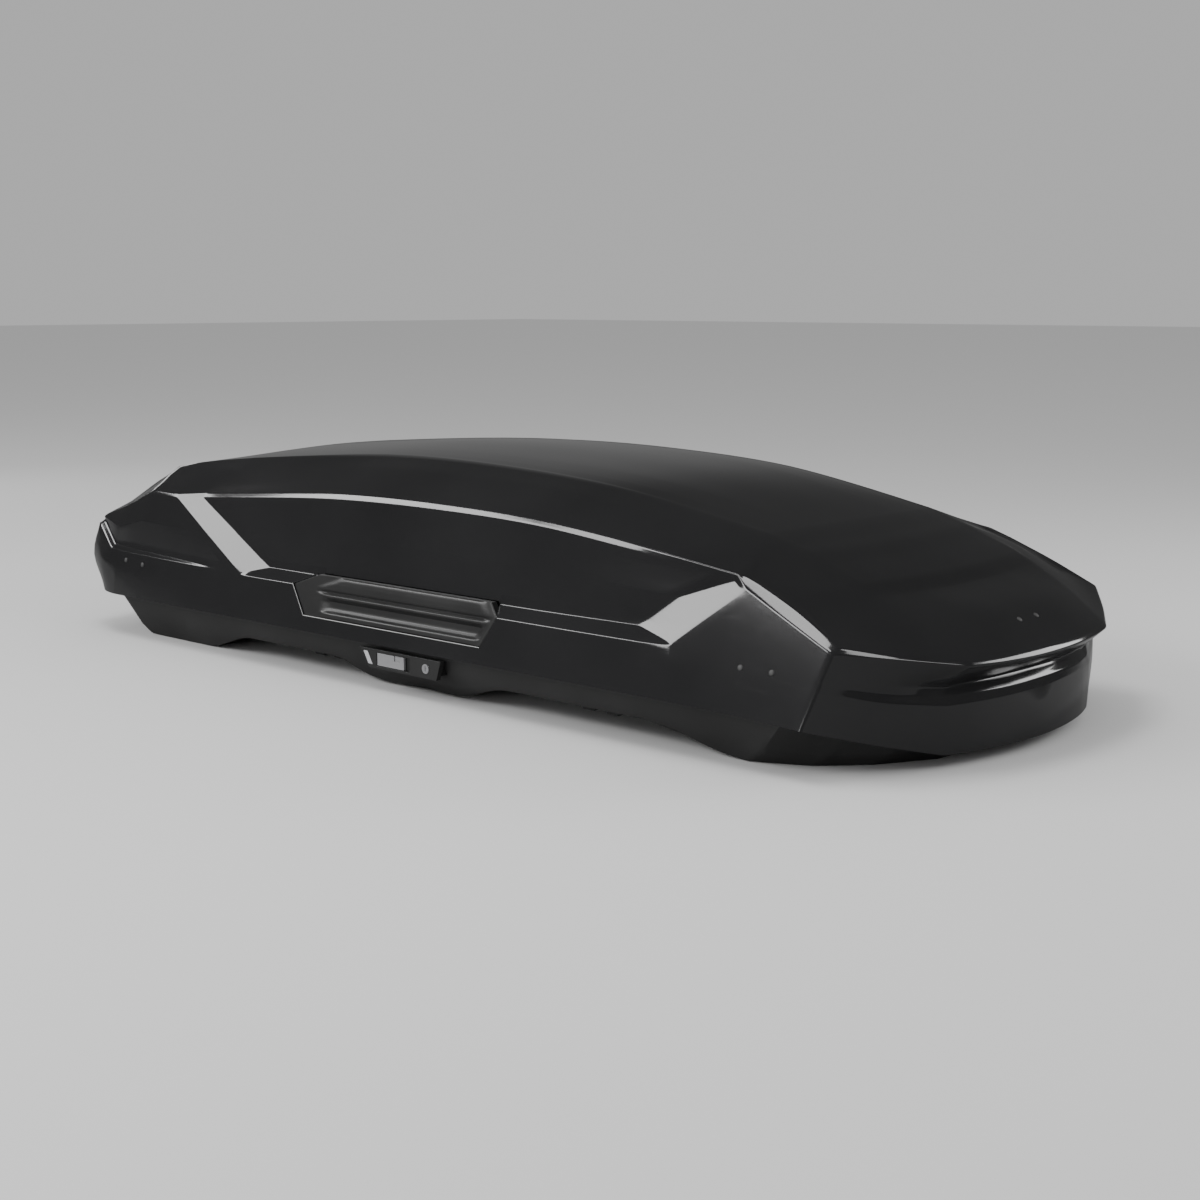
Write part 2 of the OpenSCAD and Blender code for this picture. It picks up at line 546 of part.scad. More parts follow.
module front_right_clamp_jaw_a() { color([0.2, 0.2, 0.21]) clamp_jaw(clamp_x[1], -clamp_y, 1); }
module front_right_clamp_jaw_b() { color([0.2, 0.2, 0.21]) clamp_jaw(clamp_x[1], -clamp_y, -1); }
module front_left_clamp_jaw_a() { color([0.2, 0.2, 0.21]) clamp_jaw(clamp_x[1], clamp_y, 1); }
module front_left_clamp_jaw_b() { color([0.2, 0.2, 0.21]) clamp_jaw(clamp_x[1], clamp_y, -1); }

// ---------- small parts ----------
module rivet(place, tilt) {
    translate(place) rotate(tilt) cylinder(r1 = 5.5, r2 = 3, h = 2.5);
}
// Rivets in the lid's sides and hood: place, and tilt from upright
side_rivets = [[[-890, 448.4, 162], -85], [[-827, 447.8, 162], -84], [[786, 443.1, 152], -79],
    [[846, 438.3, 157], -60]];
hood_rivet = [1040, 27, 209.1];
hood_tilt = 38.8;
module lid_rivets() {
    color([0.1, 0.1, 0.11]) for (s = [-1, 1]) side(s) {
        for (r = side_rivets) rivet(sized(r[0]), [r[1], 0, 0]);
        rivet(hood_rivet, [0, hood_tilt, 0]);
    }
}
// Rivets that hold the floor plates
module base_rivets() {
    color([0.6, 0.6, 0.62]) for (x = clamp_x, dx = [-110, 110], y = [-350:140:350])
        translate([x + dx, y, floor_z + wall + plate_t]) cylinder(r = 5, h = 2);
}
// Flat webbing with a buckle, lying across the floor plate
strap_w = 25;
strap_l = 430;
strap_t = 2;
buckle = [40, 60, 8];
module load_strap(x) {
    strap_z = floor_z + wall + plate_t + 0.2;
    translate([x - strap_w / 2, -strap_l / 2, strap_z]) cube([strap_w, strap_l, strap_t]);
    translate([x - buckle.x / 2, -buckle.y / 2, strap_z + strap_t]) cube(buckle);
}
module rear_load_strap() { color([0.1, 0.1, 0.12]) load_strap(clamp_x[0]); }
module front_load_strap() { color([0.1, 0.1, 0.12]) load_strap(clamp_x[1]); }

base_shell();
rear_floor_plate();
front_floor_plate();
right_lock_housing();
left_lock_housing();
right_lock_lens();
left_lock_lens();
right_latch_sockets();
left_latch_sockets();
stay_feet();
base_rivets();
rear_load_strap();
front_load_strap();
right_lock_slider();
left_lock_slider();
right_latch_bar();
left_latch_bar();
right_key_cylinder();
left_key_cylinder();
right_lock_cam();
left_lock_cam();
rear_right_clamp_body();
rear_right_clamp_knob();
rear_right_clamp_jaw_a();
rear_right_clamp_jaw_b();
rear_left_clamp_body();
rear_left_clamp_knob();
rear_left_clamp_jaw_a();
rear_left_clamp_jaw_b();
front_right_clamp_body();
front_right_clamp_knob();
front_right_clamp_jaw_a();
front_right_clamp_jaw_b();
front_left_clamp_body();
front_left_clamp_knob();
front_left_clamp_jaw_a();
front_left_clamp_jaw_b();
right_pivot_arms();
left_pivot_arms();
lid_shell();
right_handle();
left_handle();
right_hinge_lugs();
left_hinge_lugs();
right_pivot_pins();
left_pivot_pins();
rear_stay_beam();
front_stay_beam();
lid_rivets();
rear_stay_foot_pin();
rear_stay_lower_arm();
rear_stay_elbow_pin();
rear_stay_upper_arm();
front_stay_foot_pin();
front_stay_lower_arm();
front_stay_elbow_pin();
front_stay_upper_arm();
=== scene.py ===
import json
import math

import bpy
import bmesh
import numpy as np
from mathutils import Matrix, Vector
from mathutils.bvhtree import BVHTree

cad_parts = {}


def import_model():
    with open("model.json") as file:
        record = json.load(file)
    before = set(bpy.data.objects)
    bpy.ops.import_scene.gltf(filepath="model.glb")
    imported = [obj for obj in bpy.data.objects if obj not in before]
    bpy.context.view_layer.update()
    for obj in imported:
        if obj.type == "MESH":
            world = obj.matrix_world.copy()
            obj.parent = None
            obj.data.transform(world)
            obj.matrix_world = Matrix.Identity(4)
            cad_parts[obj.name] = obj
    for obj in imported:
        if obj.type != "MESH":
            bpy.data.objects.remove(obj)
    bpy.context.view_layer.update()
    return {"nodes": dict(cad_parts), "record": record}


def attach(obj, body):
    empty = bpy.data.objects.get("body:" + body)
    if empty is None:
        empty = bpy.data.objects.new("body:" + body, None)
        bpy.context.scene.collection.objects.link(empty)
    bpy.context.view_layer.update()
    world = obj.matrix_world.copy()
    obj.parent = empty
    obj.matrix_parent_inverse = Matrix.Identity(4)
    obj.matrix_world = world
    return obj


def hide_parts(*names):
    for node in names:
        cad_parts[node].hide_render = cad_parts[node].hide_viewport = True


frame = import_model()
MM = 0.001
SIDES = (("right", -1), ("left", 1))


# ---------- shader maths ----------
class Value:
    """A socket that joins Python arithmetic: each operator adds one Math node."""

    def __init__(self, maker, socket):
        self.maker = maker
        self.socket = socket

    def math(self, operation, other):
        return self.maker.node("ShaderNodeMath", {"operation": operation}, self, other)

    def __add__(self, other):
        return self.math("ADD", other)

    def __mul__(self, other):
        return self.math("MULTIPLY", other)

    __radd__ = __add__
    __rmul__ = __mul__

    def between(self, low, high):
        """0 at low, 1 at high, clamped."""
        return self.maker.node("ShaderNodeMapRange", {"clamp": True}, self, low, high)


class Finish:
    """One procedural material with a Principled shader."""

    def __init__(self, name, **sockets):
        self.material = bpy.data.materials.new(name)
        self.material.use_nodes = True
        self.tree = self.material.node_tree
        self.shader = self.tree.nodes["Principled BSDF"]
        for socket, value in sockets.items():
            self.shader.inputs[socket.replace("_", " ")].default_value = value
        self.place = self.node("ShaderNodeTexCoord", {"output": "Object"})

    def node(self, kind, settings, *values, **named):
        made = self.tree.nodes.new(kind)
        settings = dict(settings)
        output = settings.pop("output", 0)
        for key, value in settings.items():
            setattr(made, key, value)
        for key, value in list(enumerate(values)) + list(named.items()):
            self.feed(made.inputs[key], value)
        return Value(self, made.outputs[output])

    def feed(self, socket, value):
        if isinstance(value, Value):
            self.tree.links.new(value.socket, socket)
        elif value is not None:
            socket.default_value = value

    def noise(self, scale, detail=4.0, roughness=0.5, place=None):
        return self.node("ShaderNodeTexNoise", {}, Vector=place or self.place,
                         Scale=scale, Detail=detail, Roughness=roughness)

    def stretched(self, x, y, z):
        return self.node("ShaderNodeMapping", {}, self.place, None, None, (x, y, z))

    def mixed(self, factor, first, second):
        """Blend of two colours, each a tuple or a link."""
        made = self.node("ShaderNodeMix", {"data_type": "RGBA", "output": 2})
        inputs = made.socket.node.inputs
        self.feed(inputs[0], factor)
        self.feed(inputs[6], first)
        self.feed(inputs[7], second)
        return made

    def colour(self, value):
        self.feed(self.shader.inputs["Base Color"], value)

    def roughness(self, value):
        self.feed(self.shader.inputs["Roughness"], value)

    def bump(self, height, strength, distance):
        normal = self.node("ShaderNodeBump", {}, Strength=strength, Distance=distance, Height=height)
        self.feed(self.shader.inputs["Normal"], normal)


def grey(value, tint=0.0):
    return (value, value, value * (1 + tint), 1)


def gloss_black():
    made = Finish("lid_gloss_black", IOR=1.48, Coat_Roughness=0.03)
    made.shader.inputs["Coat Weight"].default_value = 0.15
    cloud = made.noise(3.0, 3)
    grain = made.noise(900.0, 2)
    scuff = made.noise(60.0, 6, 0.7, made.stretched(0.15, 1, 1))
    made.colour(made.mixed(cloud.between(0.3, 0.7), grey(0.0105, 0.05), grey(0.0145, 0.04)))
    made.roughness(0.09 + 0.03 * cloud + 0.05 * scuff.between(0.55, 0.8))
    made.bump(grain + made.noise(120.0, 1) * 2, 0.02, 0.0004)
    return made.material


def moulded(name, dark, light, rough, grain_scale, strength):
    """Grained injection-moulded or thermoformed plastic."""
    made = Finish(name, IOR=1.46)
    patch = made.noise(6.0, 4)
    grain = made.noise(grain_scale, 3, 0.6)
    scuff = made.noise(38.0, 6, 0.75, made.stretched(0.2, 1, 1)).between(0.58, 0.8)
    base = made.mixed(patch.between(0.3, 0.7), dark, light)
    made.colour(made.mixed(scuff * 0.35, base, tuple(2.2 * c for c in light[:3]) + (1,)))
    made.roughness(rough + 0.1 * patch + 0.08 * scuff)
    made.bump(grain, strength, 0.0006)
    return made.material


def metal(name, colour, rough, stretch, wear=0.25):
    """Brushed or plated metal with fine scratches."""
    made = Finish(name, Metallic=1.0)
    brushed = made.noise(420.0, 3, 0.6, made.stretched(*stretch))
    stain = made.noise(14.0, 5)
    stained = tuple(0.55 * c for c in colour[:3]) + (1,)
    made.colour(made.mixed(stain.between(0.35, 0.75) * wear, colour, stained))
    made.roughness(rough + 0.14 * brushed + 0.1 * stain)
    made.bump(brushed, 0.06, 0.0004)
    return made.material


def woven(name, dark, light):
    made = Finish(name, Sheen_Weight=0.35, Sheen_Roughness=0.5)
    rib = made.node("ShaderNodeTexWave", {"bands_direction": "Y"}, Vector=made.place, Scale=110.0)
    rib = rib * made.node("ShaderNodeTexWave", {"bands_direction": "X"}, Vector=made.place, Scale=150.0)
    made.colour(made.mixed(rib, dark, light))
    made.roughness(0.75 + 0.15 * made.noise(200.0))
    made.bump(rib, 0.5, 0.0006)
    return made.material


FINISH = {
    "lid_gloss": gloss_black(),
    "lid_inner": moulded("lid_inner_black", grey(0.018), grey(0.026), 0.5, 700, 0.12),
    "base_plastic": moulded("base_black_plastic", grey(0.016), grey(0.023), 0.42, 520, 0.2),
    "handle_satin": moulded("handle_satin_black", grey(0.011), grey(0.015), 0.32, 900, 0.06),
    "lock_panel": moulded("lock_panel_black", grey(0.013), grey(0.018), 0.34, 800, 0.12),
    "dark_nylon": moulded("dark_nylon", grey(0.03), grey(0.045), 0.5, 600, 0.2),
    "knob_plastic": moulded("knob_grey_plastic", grey(0.06), grey(0.085), 0.48, 500, 0.25),
    "jaw_rubber": moulded("jaw_rubber", grey(0.02), grey(0.03), 0.75, 380, 0.4),
    "lock_grip": moulded("lock_grip_silver", grey(0.17, 0.03), grey(0.22, 0.03), 0.3, 900, 0.06),
    "lock_lens": moulded("lock_lens_pale", grey(0.36, 0.04), grey(0.42, 0.04), 0.12, 300, 0.02),
    "key_metal": metal("key_bright_metal", (0.75, 0.75, 0.77, 1), 0.2, (1, 1, 1)),
    "zinc_steel": metal("zinc_plated_steel", (0.6, 0.61, 0.62, 1), 0.32, (1, 0.3, 1)),
    "stay_alu": metal("brushed_aluminium", (0.66, 0.67, 0.69, 1), 0.26, (1, 0.05, 0.05)),
    "webbing": woven("black_webbing", grey(0.012), grey(0.03)),
}


# ---------- mesh helpers ----------
def new_object(name, vertices, faces, material, smooth=True):
    mesh = bpy.data.meshes.new(name)
    mesh.from_pydata([tuple(v) for v in vertices], [], [tuple(f) for f in faces])
    mesh.update()
    made = bpy.data.objects.new(name, mesh)
    bpy.context.scene.collection.objects.link(made)
    mesh.materials.append(material)
    mesh.polygons.foreach_set("use_smooth", [smooth] * len(mesh.polygons))
    return made


def tidy_mesh(made, distance=0.00002):
    """Joins doubled vertices and turns every face outwards."""
    work = bmesh.new()
    work.from_mesh(made.data)
    bmesh.ops.remove_doubles(work, verts=work.verts, dist=distance)
    bmesh.ops.recalc_face_normals(work, faces=work.faces)
    work.to_mesh(made.data)
    work.free()
    return made


def baked(made, name):
    """The object with its modifiers applied, as a plain mesh of its own."""
    graph = bpy.context.evaluated_depsgraph_get()
    mesh = bpy.data.meshes.new_from_object(made.evaluated_get(graph))
    result = bpy.data.objects.new(name, mesh)
    bpy.context.scene.collection.objects.link(result)
    old = made.data
    bpy.data.objects.remove(made)
    bpy.data.meshes.remove(old)
    mesh.name = name
    return result


# ---------- the lid's surface ----------
LEAN = 0.148            # how far the side leans in for each unit up
SKIRT_Y = 457           # half width at the lid's lower edge
EDGE_Z = 90
RECESS = 20             # depth of the side panel's recess
CORNER_LOW = (920, 457, 83)     # lower and upper end of the crease where the side meets the nose
CORNER_HIGH = (948, 418, 200)
FRONT_LEAN = 0.3284     # the same for the flatter plane behind that crease
FRONT_SWEEP = 0.02105   # how far that plane closes in for each unit along
TURN_START = 520        # where the side starts to turn into it, and over what length
TURN_LENGTH = 120


def eased(share):
    """0 to 1 with a soft start and end."""
    share = min(1, max(0, share))
    return share * share * (3 - 2 * share)


def side_y(z, depth=0):
    """Half width of the leaning side at a height."""
    return SKIRT_Y - LEAN * (z - EDGE_Z) - depth


def on_side(x, z, depth=0):
    return (x, side_y(z, depth), z)


def on_corner(z):
    share = (z - CORNER_LOW[2]) / (CORNER_HIGH[2] - CORNER_LOW[2])
    return tuple(a + (b - a) * share for a, b in zip(CORNER_LOW, CORNER_HIGH))


def on_front(x, z, depth=0):
    """A point on the side ahead of the panel, which turns into the flatter plane behind the front corner."""
    share = eased((x - TURN_START) / TURN_LENGTH)
    swept = CORNER_LOW[1] - FRONT_LEAN * (z - CORNER_LOW[2]) - FRONT_SWEEP * (x - CORNER_LOW[0])
    flat = min(side_y(z), swept)
    return (x, side_y(z) * (1 - share) + flat * share - depth, z)


def long_row(z, xs):
    return [on_front(x, z) for x in xs]


# Half rows of the lid from the tail's centre round to the nose's centre, lowest row first.
# Columns: tail centre, tail quarter, tail corner, rear bend, rear shoulder corner, panel's rear
# end (outer, inner), three places along the panel, panel's front end (inner, outer), hood bevel,
# front corner, facet, nose corner, three places along the nose, nose centre.
ROWS = {
    "edge": [(-1085, 0, 90), (-1080, 220, 90), (-1045, 403, 90), (-985, 441, 90), (-930, 455, 90),
        *long_row(90, (-520, -440, -250, 50, 350, 560, 650)), on_front(800, 88), CORNER_LOW,
        (980, 340, 50), (1033, 231, 23), (1052, 173, 23), (1065, 115, 23), (1073, 57, 23), (1076, 0, 23)],
    "skirt": [(-1097, 0, 165), (-1092, 220, 165), (-1062, 419, 165), (-990, 443, 150), on_side(-925, 150),
        *long_row(150, (-510, -435, -250, 50, 350, 568, 646)), on_front(800, 138), on_corner(115),
        (985, 338, 85), (1034, 231, 65), (1053, 173, 65), (1066, 115, 65), (1074, 57, 65), (1077, 0, 65)],
    "ledge": [(-1092, 0, 238), (-1086, 215, 238), (-1030, 420, 236), (-953, 441, 187), (-880, 443, 184),
        *long_row(176, (-493, -432, -250, 50, 350, 572, 640)), on_front(800, 165), on_corner(142),
        (987, 333, 118), (1035, 231, 103), (1052, 173, 103), (1063, 115, 103), (1069, 57, 104),
        (1070, 0, 104)],
    "shelf": [(-1083, 0, 246), (-1076, 214, 246), (-1021, 411, 245), (-949, 432, 196), (-876, 435, 192),
        on_side(-489, 180), on_side(-413, 196, RECESS), on_side(-235, 196, RECESS),
        on_side(60, 196, RECESS), on_side(355, 196, RECESS), on_side(558, 196, 27), on_front(643, 179),
        on_front(803, 171), on_corner(155), (984, 327, 130), (1030, 229, 116), (1048, 172, 117),
        (1059, 115, 118), (1065, 57, 118), (1066, 0, 118)],
    "panel": [(-1085, 0, 250), (-1078, 213, 250), (-1019, 415, 250), (-932, 430, 235), (-846, 430, 255),
        on_side(-611, 249), on_side(-530, 256, 18), on_side(-240, 268, 17.5), on_side(55, 270, 17.5),
        on_side(352, 265, 18.5), (628, 398, 250), on_front(702, 227), on_front(822, 194), on_corner(172),
        (990, 324, 144), (1022, 224, 128), (1036, 169, 131), (1046, 112, 132), (1052, 56, 133),
        (1053, 0, 133)],
    "panel_top": [(-1082, 0, 254), (-1075, 212, 254), (-1012, 413, 254), (-918, 420, 280),
        (-820, 422, 315), (-722, 423, 313), (-655, 405, 317), (-250, 405, 344), (50, 405, 348),
        (350, 405, 338), on_front(737, 288, 4), on_front(759, 272), on_front(848, 233), on_corner(193),
        (1001, 323, 167), (1055, 224, 158), (1067, 169, 156), (1076, 113, 155), (1081, 57, 155),
        (1083, 0, 155)],
    "belt": [(-1076, 0, 259), (-1069, 211, 259), (-1004, 410, 258), (-912, 416, 286), (-815, 419, 322),
        (-728, 419, 321), (-650, 400, 327), (-250, 399, 355), (50, 399, 359), (350, 399, 349),
        on_front(744, 297, 1.5), on_front(766, 278), on_front(856, 239), CORNER_HIGH, (1010, 323, 185),
        (1067, 226, 169), (1079, 170, 167), (1088, 113, 166), (1093, 57, 165), (1095, 0, 165)],
    "bevel": [(-1068, 0, 264), (-1061, 210, 264), (-996, 404, 263), (-910, 405, 294), (-817, 409, 329),
        (-727, 409, 328), (-650, 390, 332), (-250, 389, 360), (50, 389, 364), (350, 389, 354),
        (742, 383, 300), (783, 385, 286), (869, 393, 250), (951, 405, 209), (1006, 321, 191),
        (1063, 224, 176), (1075, 169, 174), (1084, 112, 173), (1089, 56, 172), (1091, 0, 172)],
    "shoulder": [(-1045, 0, 276), (-1038, 209, 276), (-970, 392, 275), (-895, 385, 310), (-820, 390, 340),
        (-728, 385, 343), (-645, 367, 344), (-250, 362, 374), (50, 362, 377), (350, 362, 366),
        (735, 362, 306), (777, 380, 287), (845, 368, 262), (893, 373, 238), (945, 308, 229),
        (990, 240, 222), (1004, 180, 224), (1013, 121, 226), (1018, 60, 227), (1019, 0, 227)],
    "foot": [(-970, 0, 314), (-962, 205, 315), (-915, 365, 315), (-868, 368, 336), (-825, 368, 353),
        (-735, 355, 362), (-630, 335, 367), (-250, 312, 399), (50, 312, 401), (355, 312, 387),
        (715, 310, 323), (762, 365, 294), (815, 346, 281), (850, 318, 275), (880, 283, 270),
        (905, 253, 264), (914, 190, 261), (920, 125, 260), (922, 62, 259), (923, 0, 259)],
    "crease": [(-880, 0, 364), (-872, 180, 364), (-855, 275, 365), (-843, 318, 366), (-830, 345, 367),
        (-740, 337, 382), (-610, 310, 396), (-240, 258, 422), (50, 257, 421), (360, 261, 401),
        (690, 248, 346), (745, 243, 330), (775, 243, 321), (810, 244, 307), (850, 247, 292),
        (880, 250, 280), (890, 190, 279), (895, 125, 278), (898, 62, 277), (898, 0, 277)],
}
ROW_NAMES = list(ROWS)
REAR_ROOF, NOSE_CORNER, COLUMNS = 4, 15, 20     # rear shoulder corner, nose corner, number of columns
LOW_CORNERS = {2: 10, 13: 7, 15: 10}
PANEL_CORNERS = {2: 8, 3: 6, 4: 5, 5: 2.5, 6: 4, 10: 4, 11: 3, 13: 7, 15: 10}
TOP_CORNERS = {2: 12, 4: 8, 15: 10}
# Columns where each row turns sharply, with the radius there
CORNERS = {
    "edge": LOW_CORNERS, "skirt": LOW_CORNERS, "ledge": {2: 8, 3: 8, 5: 2.5, 11: 2.5, 13: 7, 15: 10},
    "shelf": PANEL_CORNERS, "panel": PANEL_CORNERS, "panel_top": PANEL_CORNERS, "belt": PANEL_CORNERS,
    "bevel": {2: 10, 4: 8, 5: 3, 6: 3, 10: 5, 11: 4, 13: 4, 15: 10},
    "shoulder": TOP_CORNERS, "foot": TOP_CORNERS, "crease": {4: 12, 15: 12},
}
# The nose gets as many cuts as the tail, so that the roof between them is one grid
ALL_CORNERS = sorted({c for row in CORNERS.values() for c in row} | {16, 17})
# Radius of the edge along each row; rows left out are smooth
EDGES = {"ledge": 1.6, "shelf": 1.6, "panel": 2.0, "panel_top": 1.8, "belt": 1.6, "bevel": 2.5, "foot": 3.5}
SMALL_CORNER = 1.0      # radius where another row has a corner and this one hasn't
MOST_CUT_BACK = 0.35    # share of a stretch that a corner's radius may take
STEPS_ALONG = 8
STEPS_UP = 4


def smooth_points(points, sharp, steps, loops=(False, False)):
    """Points on a curve through the given ones, which breaks at the sharp ones."""
    out = []
    last = len(points) - 1
    for k in range(last):
        p1, p2 = points[k], points[k + 1]
        if k in sharp or (k == 0 and not loops[0]):
            p0 = 2 * p1 - p2
        else:
            p0 = mirror(p2) if k == 0 else points[k - 1]
        if k + 1 in sharp or (k == last - 1 and not loops[1]):
            p3 = 2 * p2 - p1
        else:
            p3 = mirror(p1) if k == last - 1 else points[k + 2]
        # A neighbour far away is brought closer, so that uneven spacing makes no bulge
        reach = np.linalg.norm(p2 - p1)
        p0 = p1 + (p0 - p1) * min(1, reach / max(np.linalg.norm(p0 - p1), 1e-6))
        p3 = p2 + (p3 - p2) * min(1, reach / max(np.linalg.norm(p3 - p2), 1e-6))
        out.append([0.5 * (2 * p1 + (p2 - p0) * t + (2 * p0 - 5 * p1 + 4 * p2 - p3) * t * t
                           + (3 * p1 - p0 - 3 * p2 + p3) * t ** 3) for t in np.linspace(0, 1, steps + 1)])
    return out


def mirror(p):
    return p * np.array((1, -1, 1))


def cut_back(segment, start, end):
    """A sampled segment shortened by the given lengths at its ends, with the same number of points."""
    segment = np.array(segment)
    along = np.concatenate([[0], np.cumsum(np.linalg.norm(np.diff(segment, axis=0), axis=1))])
    room = along[-1]
    start, end = (min(radius, room * MOST_CUT_BACK) for radius in (start, end))
    wanted = start + (room - start - end) * np.linspace(0, 1, len(segment))
    return np.stack([np.interp(wanted, along, segment[:, i]) for i in range(3)], axis=1)


def rounded_line(points, corners, all_corners, steps, loops):
    """One row's points: smooth between corners, with a small arc of three points at each corner."""
    points = [np.array(p, float) for p in points]
    segments = smooth_points(points, set(corners), steps, loops)
    out = []
    for k, segment in enumerate(segments):
        start, end = (corners.get(c, SMALL_CORNER if c in all_corners else 0) for c in (k, k + 1))
        part = cut_back(segment, start, end)
        if k and k in all_corners:
            before, corner, after = out[-1], np.array(segment[0]), part[0]
            out.append(0.25 * before + 0.5 * corner + 0.25 * after)
            out.extend(part)
        else:
            out.extend(part if k == 0 else part[1:])
    return out


def lid_grid():
    """Half of the lid below the roof's creases, as a grid of points."""
    rows = {name: rounded_line(ROWS[name], CORNERS[name], ALL_CORNERS, STEPS_ALONG, (True, True))
            for name in ROW_NAMES}
    edges = {ROW_NAMES.index(name): radius for name, radius in EDGES.items()}
    columns = []
    for j in range(len(rows["edge"])):
        upright = [rows[name][j] for name in ROW_NAMES]
        columns.append(rounded_line(upright, edges, set(edges), STEPS_UP, (False, False)))
    return np.array(columns)


def column_place(corner):
    """Index of a named column in the refined grid."""
    place = 0
    for k in range(corner):
        place += STEPS_ALONG + (2 if k + 1 in ALL_CORNERS and k + 1 < COLUMNS - 1 else 0)
    return place - (1 if corner in ALL_CORNERS else 0)


CROWN = 17              # how far the roof's middle stands above its creases
CROWN_REAR = 0.15       # shares of the length over which the crown fades out behind and ahead
CROWN_FRONT = 0.3


def roof_patch(crease, rear, front):
    """Fills the roof inside the crease loop; crease holds half of the loop, tail centre first."""
    tail = crease[:rear + 1][::-1]          # left rear corner to the centre
    side = crease[rear:front + 1]
    nose = crease[front:]
    wide = len(tail) - 1
    assert len(nose) - 1 == wide, (len(nose), len(tail))
    along = np.concatenate([[0], np.cumsum(np.linalg.norm(np.diff(np.array(side), axis=0), axis=1))])
    grid = []
    for i, edge in enumerate(side):
        u = along[i] / along[-1]
        line = []
        for k in range(wide + 1):
            w = tail[k][1] / tail[0][1] * (1 - u) + nose[k][1] / nose[0][1] * u
            ends = tail[k] * (1 - u) + nose[k] * u
            corners = (tail[0] * (1 - u) + nose[0] * u) * np.array((1, w, 1))
            point = edge * np.array((1, w, 1)) + ends - corners
            point[2] += CROWN * (1 - w * w) * eased(min(u / CROWN_REAR, (1 - u) / CROWN_FRONT))
            line.append(point)
        grid.append(line)
    return grid


def build_lid():
    """The half grid and the roof between its creases, each on both sides."""
    half = lid_grid()                       # columns x rows x 3
    roof = np.array(roof_patch(half[:, -1], column_place(REAR_ROOF), column_place(NOSE_CORNER)))
    vertices, faces = [], []
    for side in (1, -1):
        flip = np.array((1, side, 1))
        for grid in (half, roof):
            n, m = grid.shape[:2]
            start = len(vertices)
            vertices += [p * flip * MM for line in grid for p in line]
            corners = [start + i * m + j for i in range(n - 1) for j in range(m - 1)]
            faces += [(a, a + m, a + m + 1, a + 1)[::side] for a in corners]
    return tidy_mesh(new_object("lid_skin", vertices, faces, FINISH["lid_gloss"]), 0.00004)


def thicken(made, wall, inner):
    """Gives a skin its wall, with the inner side in its own material."""
    made.data.materials.append(inner)
    solid = made.modifiers.new("wall", "SOLIDIFY")
    solid.thickness = wall
    solid.offset = -1
    solid.material_offset = 1
    solid.material_offset_rim = 0
    return made


def cut(made, cutter):
    """Takes the cutter's room out of a closed piece, and removes the cutter."""
    tool = made.modifiers.new("cut", "BOOLEAN")
    tool.object = cutter
    tool.operation = "DIFFERENCE"
    tool.solver = "EXACT"
    made = baked(made, made.name)
    bpy.data.objects.remove(cutter)
    return made


def closed_loft(name, loops, material):
    """A closed solid through loops of points, capped at both ends."""
    n = len(loops[0])
    faces = [tuple(range(n)), tuple(range((len(loops) - 1) * n, len(loops) * n))]
    for r in range(len(loops) - 1):
        for j in range(n):
            k = (j + 1) % n
            faces.append((r * n + j, r * n + k, (r + 1) * n + k, (r + 1) * n + j))
    return tidy_mesh(new_object(name, [p for loop in loops for p in loop], faces, material, smooth=False))


# ---------- handles ----------
# Outline on the lid's side, along and up: left point, then the lower edge, right point and top edge
HANDLE = [(-313, 177), (-274, 121), (217, 121), (253, 177), (236, 201), (-241, 201)]
HANDLE_LOW, HANDLE_POINT, HANDLE_TOP = 121, 177, 201
POCKET_GAP = 0.5        # clearance between the handle and its pocket
HANDLE_THICK = 12
FIELD_PROUD = -1.3      # the flat field at the handle's ends, a little below the side


def grown(outline, by):
    """A convex outline moved outwards, its corners kept sharp."""
    out = []
    n = len(outline)
    middle = Vector((sum(p[0] for p in outline) / n, sum(p[1] for p in outline) / n))
    for k in range(n):
        before, here, after = (Vector(outline[(k + d) % n]) for d in (-1, 0, 1))
        normals = []
        for a, b in ((before, here), (here, after)):
            across = Vector((b.y - a.y, a.x - b.x)).normalized()
            normals.append(across if across.dot(here - middle) > 0 else -across)
        bend = (normals[0] + normals[1]).normalized()
        out.append(here + bend * by / bend.dot(normals[0]))
    return out


def side_point(x, z, proud, side):
    """A point proud of the lid's leaning side plane."""
    return Vector((x, side * (side_y(z) + proud), z)) * MM


def handle_pocket(side):
    """Cutter for the handle's pocket: straight walls, then a flare that opens outwards."""
    loops = [[side_point(p.x, p.y, proud, side) for p in grown(HANDLE, by)]
             for proud, by in ((-40, POCKET_GAP), (-1.6, POCKET_GAP), (6, POCKET_GAP + 10))]
    return closed_loft("pocket", loops, FINISH["lid_gloss"])


# Handle section from its top edge down: height, and how far it stands proud of the side.
# Two ribs with a groove between them, a hollow for the fingers and a narrow lower rib.
HANDLE_SECTION = [(201, -1.5), (199.5, 0.4), (197, 1.4), (186, 1.9), (177, 1.0), (174, -1), (172, -3.4),
                  (169.5, -3.4), (167.5, -1), (165.5, 1), (162, 1.1), (158, -3), (152.5, -9), (140, -9.4),
                  (134, -6), (131.5, -2), (129.5, -1), (124, -1.2), (122.4, -1.4), (121, -2.5)]
GRIP_INSET = 62         # flat field at the left end, above the second rib
SECOND_RIB = 163
GRIP_START = -232       # where the grip starts below that rib
GRIP_FADE = 34          # lengths over which the section comes in at the left and goes out at the right
GRIP_OUT = 26
GRIP_END = 6            # from the right end
NEAR_EDGE = 0.004       # share of the length at which the ends start to round over
NEAR_EDGE_DIP, EDGE_DIP = 0.5, 1.6
SHARP_HANDLE = 40       # edges over this many degrees shade sharp


